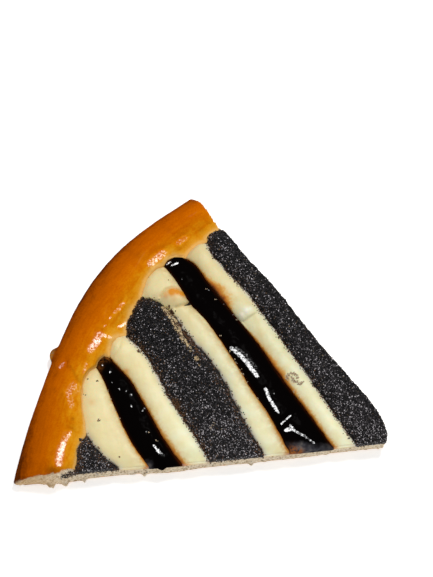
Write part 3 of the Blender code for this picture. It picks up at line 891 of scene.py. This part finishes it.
# Painted shade: each stripe is painted darker further back, by these shares.
PAINTED_SHADE = {"quark_edge": 0.45, "quark_long": 0.25, "quark_middle": 0.1, "quark_corner": 0.0}
BLOTCHES = [(-72.6, 60.3, 1.6, 1.5), (-70.9, 60.2, 1.6, 1.2), (-69.2, 59.7, 1.3, 1.5),
            (-74.8, 59.6, 1.4, 0.6), (-71.9, 57.8, 1.8, 0.3),
            (-91.0, 33.8, 0.9, 0.8), (-103.4, 24.0, 1.2, 0.35)]
for node, clay in quarks.items():
    back, strength = zip(*SYRUP[node])
    here = np.interp(clay.y, back, strength)
    here = here * (1 + 0.2 * lumps(clay.points, 1.4, 3, 9))
    from_jam = np.maximum(distance(clay.points, jam_tree) - 0.2, 0)
    reach = SYRUP_REACH * (0.15 + 0.5 * here.clip(0, 2))
    soaked = np.exp(-from_jam / reach) + 0.22 * np.exp(-from_jam / 3.0)
    at_lobe = rise(clay.y, 50, 57) * (node == "quark_long")
    from_outside = ROUND_RADIUS - np.hypot(*(clay.points[:, :2] - ROUND_MIDDLE).T)
    at_dough = np.exp(-distance(clay.points, dough_tree) / 1.0) * (clay.y > 3)
    foot = rise(-clay.z, -7.2, -5.8) * (clay.y < 2.2)
    clay.write(syrup=here.clip(0, 1.3) * soaked,
               tanned=TANNED[node] * np.exp(-(from_jam / 3.2) ** 2),
               # shaded: painted shade, darker further back
               shaded=PAINTED_SHADE[node] * rise(clay.y, 5, 35),
               # grey: painted shade beside the raised poppy seed
               grey=np.exp(-distance(clay.points, poppy_tree) / 2.0) * (1 - at_lobe),
               baked=rise(-from_outside, -60, -26),
               toasted=np.maximum(at_dough, foot),
               blotch=patches(clay.points, BLOTCHES),
               notch=within(clay.points, NOTCH, 0.3),
               # creased: painted shade along the lobe's crease
               creased=-groove(clay.points, LOBE_CREASE, 0.35),
               # pale: a painted highlight on the raised lip
               pale=patches(clay.points, LIP_AND_PAINTED_HIGHLIGHT))
print("syrup reaches about", SYRUP_REACH, "mm")

# %% [markdown]
# ## Quark: the finish
# Baked quark is cream with a soft satin skin, and light goes a little way into it. Its colours are
# laid over each other like washes, each with its own share: first what is the same along the whole
# stripe, then the marks, and the syrup last.

# %% Quark: finish
quark = Finish("baked_quark", {"Roughness": 0.5, "Coat Weight": 0.1, "Coat Roughness": 0.35,
                               "Specular IOR Level": 0.3, "Subsurface Weight": 0.12,
                               "Subsurface Scale": 0.001})
cream = quark.ramp(quark.noise(4.5, 3), [(0.3, (240, 230, 178)), (0.5, (245, 241, 196)),
                                         (0.7, (246, 246, 210))])
cream = quark.blend(quark.measure("baked") * 0.75, cream, (243, 224, 164))
# Painted shade: the cream is multiplied darker further back.
cream = quark.blend(quark.measure("shaded"), cream, (0.68, 0.66, 0.6, 1), "MULTIPLY")
tanned = quark.measure("tanned")
# Below, grey and creased are painted shade, and pale is a painted highlight on the lip.
for share, colour in ((tanned * quark.noise(2.0, 3).step(0.2, 0.6), (202, 176, 122)),
                      (quark.measure("pale"), (242, 238, 218)),
                      (quark.measure("grey").step(0.2, 1.0) * 0.95, (204, 198, 190)),
                      (quark.measure("creased") * 0.4, (196, 160, 100)),
                      (quark.measure("toasted") * 0.55, (214, 176, 106)),
                      (quark.measure("blotch"), (226, 146, 36))):
    cream = quark.blend(share, cream, colour)
soaked = quark.measure("syrup") + (quark.noise(0.7, 2) - 0.5) * 0.15
tint = quark.ramp(soaked, [(0.0, (238, 222, 170)), (0.2, (230, 172, 76)),
                           (0.45, (202, 114, 18)), (0.72, (130, 58, 4)), (1.0, (62, 20, 3))])
tint = quark.blend(tanned * 0.7, tint, (166, 116, 60))
quark_colour = quark.blend(soaked.step(0.04, 0.3), cream, tint)
quark.feed("Base Color", quark.blend(quark.measure("notch").step(0.3, 0.7), quark_colour, (30, 14, 8)))
quark.relief(quark.noise(0.7, 3), 0.03)
for node, clay in quarks.items():
    show(node + "_filling", clay.mesh, quark, "quark", node)

# %% [markdown]
# ## Jam: the finish
# Thick plum jam is nearly black where it is deep, and shows red-brown only along its thin edges.
# The edges need no see-through shader: a ramp over the distance to the seam is enough. At the foot
# of the front cut the knife wiped it to a thin grey film, and in a few places it is scorched brown.
# Its gloss is a coat over the glints, broken up by noise as on the crust.

# %% Jam: finish
jam = Finish("plum_jam", {"Specular IOR Level": 0.0, "Coat Roughness": 0.18})
thin = jam.measure("depth") + (jam.noise(0.8, 2) - 0.5) * 0.5
plum = jam.ramp(thin * 0.5, [(0.0, (74, 28, 4)), (0.16, (38, 13, 3)), (0.36, (14, 6, 3)),
                             (0.7, (6, 4, 4))])
torn = jam.measure("torn")
film = jam.ramp(jam.noise(2.2, 3), [(0.35, (46, 44, 48)), (0.52, (70, 69, 74)),
                                    (0.7, (106, 100, 96))])
plum = jam.blend(torn, plum, film)
brown = jam.measure("brown") * jam.noise(0.8, 3).step(0.3, 0.6)
jam.feed("Base Color", jam.blend(brown, plum, (168, 98, 36)))
jam.feed("Roughness", torn * 0.5 + 0.3)
wet = jam.measure("wet")
mirrored = wet.step(0.0, 0.8) * (wet + (jam.noise(0.55, 3) - 0.5) * 4.0).step(0.1, 1.5)
jam.feed("Coat Weight", (1 - torn) * (mirrored + 0.003))
print("jam nodes:", len(jam.tree.nodes))

# %% [markdown]
# ## Jam: the shape
# Jam is wet, so its shape is read from its glints: long ones on the swells, short ones where the
# skin tore in steps, and small round ones on pimples. The jam is kneaded first, then turned to the
# lamp at those places. The short stripe hangs over the front cut in a drop.

# %% Jam: shape
JAM_GRAIN = 0.26
DROP = (-81.8, 0.9)
DROP_HANGS = (0, -1.3, -1.6)
JAM_GLINTS = {
    "jam_long": [([(-54.2, 38.2), (-51.8, 35.8)], 0.62, 0.8),
                 ([(-51.8, 35.8), (-49.5, 32.8), (-47.9, 29.8), (-46.6, 27.6)], 0.68, 1),
                 ([(-52.6, 38.2), (-49.6, 35.6), (-46.6, 30.6)], 0.5, 0.3),
                 ([(-44.2, 22.6), (-43.4, 19.2), (-42.3, 16.7), (-41.3, 14.8)], 0.52, 1),
                 ([(-41.3, 14.8), (-40.8, 13.8)], 0.35, 0.7),
                 ([(-36.9, 12.6), (-40.4, 9.9)], 0.32, 1), ([(-39.0, 7.7), (-36.9, 8.1)], 0.6, 1),
                 ([(-37.4, 9.2), (-36.7, 7.9)], 0.4, 0.8), ([(-36.9, 7.7), (-33.3, 5.2)], 0.42, 1),
                 ([(-33.3, 5.2), (-30.2, 2.4)], 0.36, 0.9),
                 ([(-71.8, 71.0), (-69.6, 71.8)], 0.35, 1), ([(-73.6, 71.7), (-72.1, 72.6)], 0.3, 1)],
    "jam_short": [([(-83.8, 7.3), (-82.9, 5.8)], 0.3, 1),
                  ([(-82.6, 5.6), (-81.7, 4.1), (-80.9, 3.3)], 0.5, 1)],
}
PILED_LEFT = {"jam_long": (1.0, "quark_long", "quark_edge")}
STEPS = [([(-41.3, 8.8), (-36.5, 12.9)], 0.3, 1.0),
         ([(-40.4, 6.6), (-37.3, 7.0), (-33.5, 3.8), (-29.4, 0.4)], 0.5, 1.7)]
BROWN_JAM = [(-99.6, 39.2, 1.5, 0.4), (-97.0, 39.6, 1.1, 0.5), (-99.9, 36.4, 1.1, 0.3),
             (-37.6, 0.2, 1.6, 1.0), (-35.4, -0.2, 1.3, 0.8), (-73.6, 73.0, 1.0, 0.4)]
PIMPLES = [(-98.9, 37.0, 1.0), (-96.6, 34.2, 1.2), (-96.1, 30.6, 0.4), (-93.8, 27.9, 0.8),
           (-91.5, 27.0, 0.6), (-89.9, 25.7, 0.6), (-90.1, 21.5, 0.9), (-85.8, 20.4, 0.6),
           (-86.5, 19.7, 0.9), (-85.9, 12.1, 0.5), (-68.7, 65.4, 0.3), (-59.8, 60.8, 0.6),
           (-55.1, 55.1, 0.4), (-52.2, 50.8, 0.4), (-41.6, 20.9, 0.5), (-58.0, 43.1, 0.4),
           (-55.0, 36.8, 0.4), (-53.2, 32.9, 0.5), (-51.6, 29.6, 0.5), (-50.1, 25.4, 0.4),
           (-97.9, 27.2, 0.8), (-95.6, 20.4, 0.6)]


def leftness(points, left, right):
    """From 1 beside the left neighbour to -1 beside the right one."""
    to_left = distance(points, tree_of(left))
    to_right = distance(points, tree_of(right))
    return (to_right - to_left) / (to_right + to_left)


jams = {}
for node in stripes("jam"):
    clay = filling_clay(node, JAM_GRAIN)
    top = rise(clay.facing[:, 2], 0.3, 0.8)
    if node in PILED_LEFT:
        amount, left, right = PILED_LEFT[node]
        clay.lift(amount * leftness(clay.points, left, right) * top)
    heave = 0.18 * lumps(clay.points, 3.2, 2, 11) + 0.02 * lumps(clay.points, 1.0, 2, 12)
    for line, drop, width in STEPS:
        heave += drop * terrace(clay.points, line, width, 2.2)
    clay.lift(heave * top)
    pimpled = patches(clay.points, [(x, y, 0.45, 1.0) for x, y, _ in PIMPLES])
    glints = np.maximum(strokes(clay.points, JAM_GLINTS[node], 1.3), rise(pimpled, 0.2, 0.5)) * top
    clay.move(np.outer(turned_to_lamp(clay, glints, 1.3), (0, 0, 1)))
    wet = strokes(clay.points, JAM_GLINTS[node], 1.1)
    clay.lift(0.03 * wet * lumps(clay.points, 0.8, 2, 13) * top)
    hanging = hill(clay.points, DROP, 1.5) * rise(clay.z, 5.5, 7.5)
    clay.move(np.outer(hanging, DROP_HANGS))
    pimpled = patches(clay.points, [(x, y, 0.5, bright) for x, y, bright in PIMPLES])
    ragged = clay.y + 0.7 * lumps(clay.points, 2.0, 2, 15)
    ragged += 1.8 * rise(clay.x, -35, -28)
    foot = rise(-ragged, -4.4, -1.4) * (clay.x > -60)
    left_foot = rise(-ragged, -3.4, -1.4) * rise(-clay.x, 84.0, 86.5)
    clay.write(depth=distance(clay.points, quark_tree) - SWELL,
               wet=np.maximum(wet, pimpled),
               torn=0.9 * np.maximum(foot, left_foot),
               brown=patches(clay.points, BROWN_JAM))
    jams[node] = clay
    show(node + "_filling", clay.mesh, jam, "jam", node)

# %% [markdown]
# ## Poppy seed: the core
# Ground poppy seed is a bank of loose grains over a packed inside. The inside is a rough dark core
# made from the solid, which closes the gaps between the grains. Along the right edge of the wide
# stripe a spoon smeared quark over it, and there the core rises bare and pale between the grains.

# %% Poppy: core
SMEAR = [([(-75.8, 55.4), (-74.5, 53.3), (-72.8, 49.8), (-71.6, 46.7)], 1.2, 0.75),
         ([(-71.6, 46.7), (-70.9, 43.8), (-69.1, 40.8)], 0.8, 0.62),
         ([(-69.1, 40.8), (-68.0, 38.8)], 0.6, 0.55), ([(-66.6, 35.9), (-66.4, 35.3)], 0.7, 0.9),
         ([(-66.0, 33.2), (-65.9, 32.8)], 0.4, 0.7)]
core = Finish("poppy_core", {"Roughness": 0.8})
dark = core.ramp(core.noise(0.6, 2), [(0.35, (10, 9, 10)), (0.7, (44, 40, 42))])
bare = core.measure("bare") + (core.noise(0.7, 3) - 0.5) * 2.2
curd = core.ramp(core.noise(0.6, 3), [(0.35, (132, 102, 68)), (0.6, (206, 184, 142))])
core.feed("Base Color", core.blend(bare.step(0.3, 0.6), dark, curd))
core.relief(core.noise(0.5, 2), 0.1)
poppies = {}
for node in stripes("poppy"):
    clay = filling_clay(node, FILLING_GRAIN)
    clay.push(0.22 * lumps(clay.points, 2.2, 3, 14) * rise(clay.z, 5.2, 6.2) - 0.1)
    bare = strokes(clay.points, SMEAR)
    clay.lift(0.35 * bare)
    clay.write(bare=bare)
    poppies[node] = clay
    show(node + "_core", clay.mesh, core, "poppy", node)

# %% [markdown]
# ## Poppy seed: one grain, many times
# Broken grains are a quarter to over half a millimetre across, and from a step away each one still
# glints, so they are real. A particle system would draw them from one original, but the meshes are
# wanted, so one small ball of eight faces is repeated with NumPy into one mesh, each ball turned,
# stretched and dented by itself, with its own tone.

# %% Poppy: one grain, many times
dice = np.random.default_rng(20)


def template():
    """The corners and faces of one small ball of eight triangles."""
    bm = bmesh.new()
    bmesh.ops.create_uvsphere(bm, u_segments=4, v_segments=2, radius=1.0)
    corners = np.array([v.co[:] for v in bm.verts])
    faces = np.array([[v.index for v in f.verts] for f in bm.faces])
    bm.free()
    return corners, faces


def turns(count):
    """Random turns, as matrices."""
    q = dice.normal(size=(count, 4))
    w, x, y, z = (q / np.linalg.norm(q, axis=1, keepdims=True)).T
    rows = [[1 - 2 * (y * y + z * z), 2 * (x * y - z * w), 2 * (x * z + y * w)],
            [2 * (x * y + z * w), 1 - 2 * (x * x + z * z), 2 * (y * z - x * w)],
            [2 * (x * z - y * w), 2 * (y * z + x * w), 1 - 2 * (x * x + y * y)]]
    return np.array(rows).transpose(2, 0, 1)


def scattered(name, places, radii, tones):
    """One mesh of many small uneven balls, with a tone written on each."""
    corners, faces = template()
    count = len(places)
    stretch = dice.uniform(0.7, 1.25, (count, 1, 3))
    dents = dice.uniform(0.85, 1.12, (count, len(corners), 1))
    shapes = corners[None] * stretch * dents * np.asarray(radii).reshape(-1, 1, 1)
    shapes = np.einsum("nij,nkj->nki", turns(count), shapes) + places[:, None]
    links = faces[None] + np.arange(count)[:, None, None] * len(corners)
    mesh = bpy.data.meshes.new(name)
    mesh.from_pydata(from_plan(shapes.reshape(-1, 3)).tolist(), [], links.reshape(-1, 3).tolist())
    layer = mesh.attributes.new("tone", "FLOAT", "POINT")
    layer.data.foreach_set("value", np.repeat(tones, len(corners)).astype(np.float32))
    return mesh


def spots_on(clay, count, weights):
    """Random places on a clay's faces, and the way they face. Weights say where more fall."""
    areas = taken(clay.mesh.polygons, "area", 1)[:, 0]
    centres = to_plan(taken(clay.mesh.polygons, "center", 3))
    normals = taken(clay.mesh.polygons, "normal", 3)
    chance = areas * weights(centres, normals)
    chosen = dice.choice(len(areas), count, p=chance / chance.sum())
    jitter = dice.uniform(-0.5, 0.5, (count, 3)) * FILLING_GRAIN
    flat_jitter = jitter - normals[chosen] * (jitter * normals[chosen]).sum(axis=1)[:, None]
    return centres[chosen] + flat_jitter, normals[chosen]


print("corners and faces of a grain:", [len(part) for part in template()])

# %% [markdown]
# ## Poppy seed: the stripes
# Most grains are blue-black, and a few are painted light grey to near white as painted
# glints, fewer of them towards the back and along the right cut. At the borders grains rolled
# out of line, and syrup browned them. Those that rolled furthest are kept aside, to be dropped
# on the quark later.

# %% Poppy: grains
GRAIN_SPACING = 0.31
GRAIN_RADIUS = (0.13, 0.29)
MOST_GRAINS = 24000
BROWNED_POPPY = [(-75.2, 20.4, 1.7, 0.9), (-73.4, 16.6, 1.0, 0.8), (-85.5, 41.0, 1.2, 0.7),
                 (-69.0, 44.5, 1.6, 0.7), (-66.0, 38.5, 1.4, 0.5)]
PALE_SPOTS = [(-64.1, 10.7, 0.35, 1.0), (-63.4, 11.6, 0.35, 1.0), (-62.8, 12.5, 0.3, 1.0)]
seeds = Finish("ground_poppy", {"Roughness": 0.4})
tone = seeds.measure("tone")
# The light grey to near white tones are painted glints on the grains.
seeds.feed("Base Color", seeds.ramp(tone, [(0.0, (4, 3, 4)), (0.35, (13, 11, 13)),
                                           (0.55, (42, 38, 41)), (0.68, (112, 106, 110)),
                                           (0.8, (238, 232, 236)),
                                           (0.83, (44, 26, 14)), (0.92, (122, 80, 44)),
                                           (1.0, (216, 198, 166))]))
strays = []
for node, clay in poppies.items():
    area = sum(p.area for p in clay.mesh.polygons if p.normal.z > 0.2) / MM ** 2
    count = min(int(1.6 * area / GRAIN_SPACING ** 2), MOST_GRAINS)
    spots, facing = spots_on(clay, count, lambda c, n: (c[:, 2] > 5.4) * np.where(
        n @ RIGHT_CUT_OUTWARD > 0.5, 0.1, 0.35 + 0.65 * (n[:, 2] > 0.3)))
    radii = dice.uniform(*GRAIN_RADIUS, count)
    spots = spots + facing * (dice.uniform(-0.1, 0.3, count) * radii)[:, None]
    # Fewer painted glints towards the back, and on the wide stripe along the right cut.
    painted_glint_damping = np.interp(spots[:, 1], (8, 48), (1.1, 3.4 if node == "poppy_middle" else 2.0))
    if node == "poppy_edge":
        outward = spots @ RIGHT_CUT_OUTWARD
        painted_glint_damping += 2.4 * rise(outward, outward.max() - 4.5, outward.max() - 1.5)
    tones = dice.random(count) ** painted_glint_damping * 0.82
    at_border = np.exp(-distance(spots, NEIGHBOURS["poppy"]) / 1.1)
    spots[:, :2] += dice.normal(0, 0.35, (count, 2)) * at_border[:, None]
    chance = at_border * (0.25 if node == "poppy_edge" else 1.1) + patches(spots, BROWNED_POPPY)
    tones = np.where(dice.random(count) < chance, dice.uniform(0.83, 0.945, count), tones)
    tones = np.where(dice.random(count) < patches(spots, PALE_SPOTS), 0.97, tones)
    rolled = (at_border > 0.3) * (dice.random(count) < 0.5)
    strays.append(spots[rolled] + dice.normal(0, 0.4, (rolled.sum(), 3)) * (1, 1, 0))
    kept = dice.random(count) > strokes(spots, SMEAR)
    spots, radii, tones = spots[kept], radii[kept], tones[kept]
    show(node + "_grains", scattered(node + "_grains", spots, radii, tones), seeds, "poppy")

# %% [markdown]
# ## Spilled grains, crumbs and painted glints
# A few grains fell on the quark while the stripes were laid, and along the smear they lie in
# clumps. The knife dragged others along the front cut, most of them at the end of the rim. Boiled
# syrup left a pale curl of crumbs on the quark. Pale beads along the jam's seams are painted
# highlights where the jam glints there. All are the same small balls again. Each pinch has a place,
# a reach, a number of grains and a tone.

# %% Spills: where they are
SPILLS = [(-74.1, 55.7, 0.4, 10, 0.87), (-75.2, 52.8, 1.0, 12, 0.9), (-73.2, 49.4, 1.0, 12, 0.9),
          (-73.5, 53.6, 1.0, 80, 0.86), (-72.3, 51.6, 0.4, 12, 0.87),
          (-71.3, 48.9, 1.0, 80, 0.86), (-69.6, 45.5, 1.0, 90, 0.86), (-68.5, 43.5, 0.9, 80, 0.86),
          (-67.4, 41.6, 0.9, 70, 0.86), (-71.6, 45.0, 0.3, 8, 0.86), (-86.1, 40.5, 0.6, 12, 0.87),
          (-83.7, 39.3, 0.5, 10, 0.87), (-74.5, 19.6, 0.8, 22, 0.91), (-74.0, 17.5, 0.5, 12, 0.89),
          (-101.3, 17.4, 0.5, 16, 0.94), (-104.1, 32.5, 0.3, 5, 0.91), (-101.0, 31.5, 0.35, 6, 0.89),
          (-106.0, 27.3, 0.1, 1, 0.88), (-105.3, 26.9, 0.15, 3, 0.88), (-95.4, 4.4, 0.2, 4, 0.9),
          (-80.2, 67.7, 0.1, 1, 0.9), (-73.5, 65.3, 0.12, 2, 0.92), (-107.9, 11.5, 0.6, 30, 0.86),
          (-108.3, 10.2, 0.4, 12, 0.86)]
SMUDGE = [(-36.5, 25.9), (-36.2, 26.6), (-35.6, 27.1), (-34.8, 27.4), (-34.2, 27.2), (-33.6, 26.9),
          (-33.2, 26.4), (-33.0, 25.5), (-34.7, 25.7), (-34.5, 25.1), (-34.1, 24.6), (-33.6, 24.4),
          (-33.2, 24.1), (-32.8, 23.6), (-32.4, 23.2), (-31.6, 23.6)]
# Pale beads along the jam's seams: painted highlights where the jam glints there.
SEAM_GLINT_BEADS = [(-57.6, 43.4), (-55.0, 37.2), (-53.6, 34.3), (-53.0, 33.0), (-52.0, 30.6), (-51.2, 28.9),
        (-50.0, 26.0), (-47.2, 19.8), (-44.9, 14.7), (-97.9, 27.6), (-97.0, 25.0), (-95.8, 20.7),
        (-94.6, 18.0), (-60.4, 61.2), (-57.7, 56.9), (-51.0, 49.0), (-36.6, 25.8), (-37.0, 26.8),
        (-36.2, 25.0), (-34.6, 21.0), (-33.0, 18.6), (-85.0, 12.0), (-82.8, 9.0)]
SPILLS += [(x, y - 0.3, 0.55, 14, 0.97) for x, y in SMUDGE] + [(x, y, 0.4, 4, 0.99) for x, y in SEAM_GLINT_BEADS]
DRAGGED = [(-114.4, 0, 7.0, 1.4, 80, 0.5), (-112.4, 0, 7.0, 1.8, 120, 0.86),
           (-110.6, 0, 6.6, 1.2, 80, 0.4), (-104.0, 0, 4.7, 2.5, 12, 0.8),
           (-88.0, 0, 4.0, 4.0, 14, 0.86), (-60.0, 0, 4.3, 6.0, 20, 0.84)]
print("pinches:", len(SPILLS), "and grains dragged by the knife:", sum(spill[-2] for spill in DRAGGED))

# %% [markdown]
# ## Spills: letting them fall
# A grain lies on whatever is below it. A physics run would settle them too, but a straight ray is
# enough for things this light: each grain is moved down, or for the dragged ones towards the cut,
# until it touches a piece.

# %% Spills: grains at rest
FALL = 40.0


def resting(spots, heading, *clays):
    """Where spots that move along heading first touch some pieces, and which of them do."""
    heading = Vector(heading)
    nearest = np.full(len(spots), 2 * FALL)
    for clay in clays:
        faces = [p.vertices[:] for p in clay.mesh.polygons]
        tree = BVHTree.FromPolygons([Vector(p) for p in clay.points], faces)
        for i, spot in enumerate(spots):
            far = tree.ray_cast(Vector(spot) - heading * FALL, heading)[3]
            if far:
                nearest[i] = min(nearest[i], far)
    return spots + np.outer(nearest - FALL, heading), nearest < 1.5 * FALL


def spilled(spills, spread, heading, *clays):
    """The places and tones of the grains of some spills, each grain resting on a piece."""
    spots = [dice.normal(place, np.multiply(spread, reach / 2), (count, 3))
             for *place, reach, count, tone in spills]
    toned = np.concatenate([dice.normal(spill[-1], 0.02, spill[-2]) for spill in spills])
    places, landed = resting(np.concatenate(spots), heading, *clays)
    return places[landed], toned[landed]


fallen, fallen_tones = spilled([(x, y, 0, *rest) for x, y, *rest in SPILLS], (1, 1, 0), (0, 0, -1),
                               dough, *quarks.values(), *jams.values(), *poppies.values())
dragged, dragged_tones = spilled(DRAGGED, (1, 0, 1.2), (0, 1, 0), dough)
strays, landed = resting(np.concatenate(strays), (0, 0, -1), *quarks.values())
strays = strays[landed * (strays[:, 2] > BASE_TOP + 0.6)]
stray_tones = np.where(dice.random(len(strays)) < 0.8, dice.uniform(0.84, 0.92, len(strays)), 0.4)
places = np.concatenate([fallen[fallen[:, 2] > BASE_TOP], dragged, strays])
tones = np.concatenate([fallen_tones[fallen[:, 2] > BASE_TOP], dragged_tones, stray_tones])
radii = dice.uniform(0.18, 0.32, len(places)) * np.where(tones > 0.975, 0.85, 1)
show("spilled_grains", scattered("spilled_grains", places, radii, tones), seeds, "poppy")

# %% [markdown]
# ## Check the size
# The dressed slice has to keep the solids' size, because other things are fitted to them.

# %% Sizes and finish
boxes = {"cad": [list(corner) for corner in cad_box],
         "visual": [list(corner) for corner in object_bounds()]}
print("grown by, in mm:", [[round((b - a) / MM, 2) for a, b in zip(*pair)]
                           for pair in zip(boxes["cad"], boxes["visual"])])
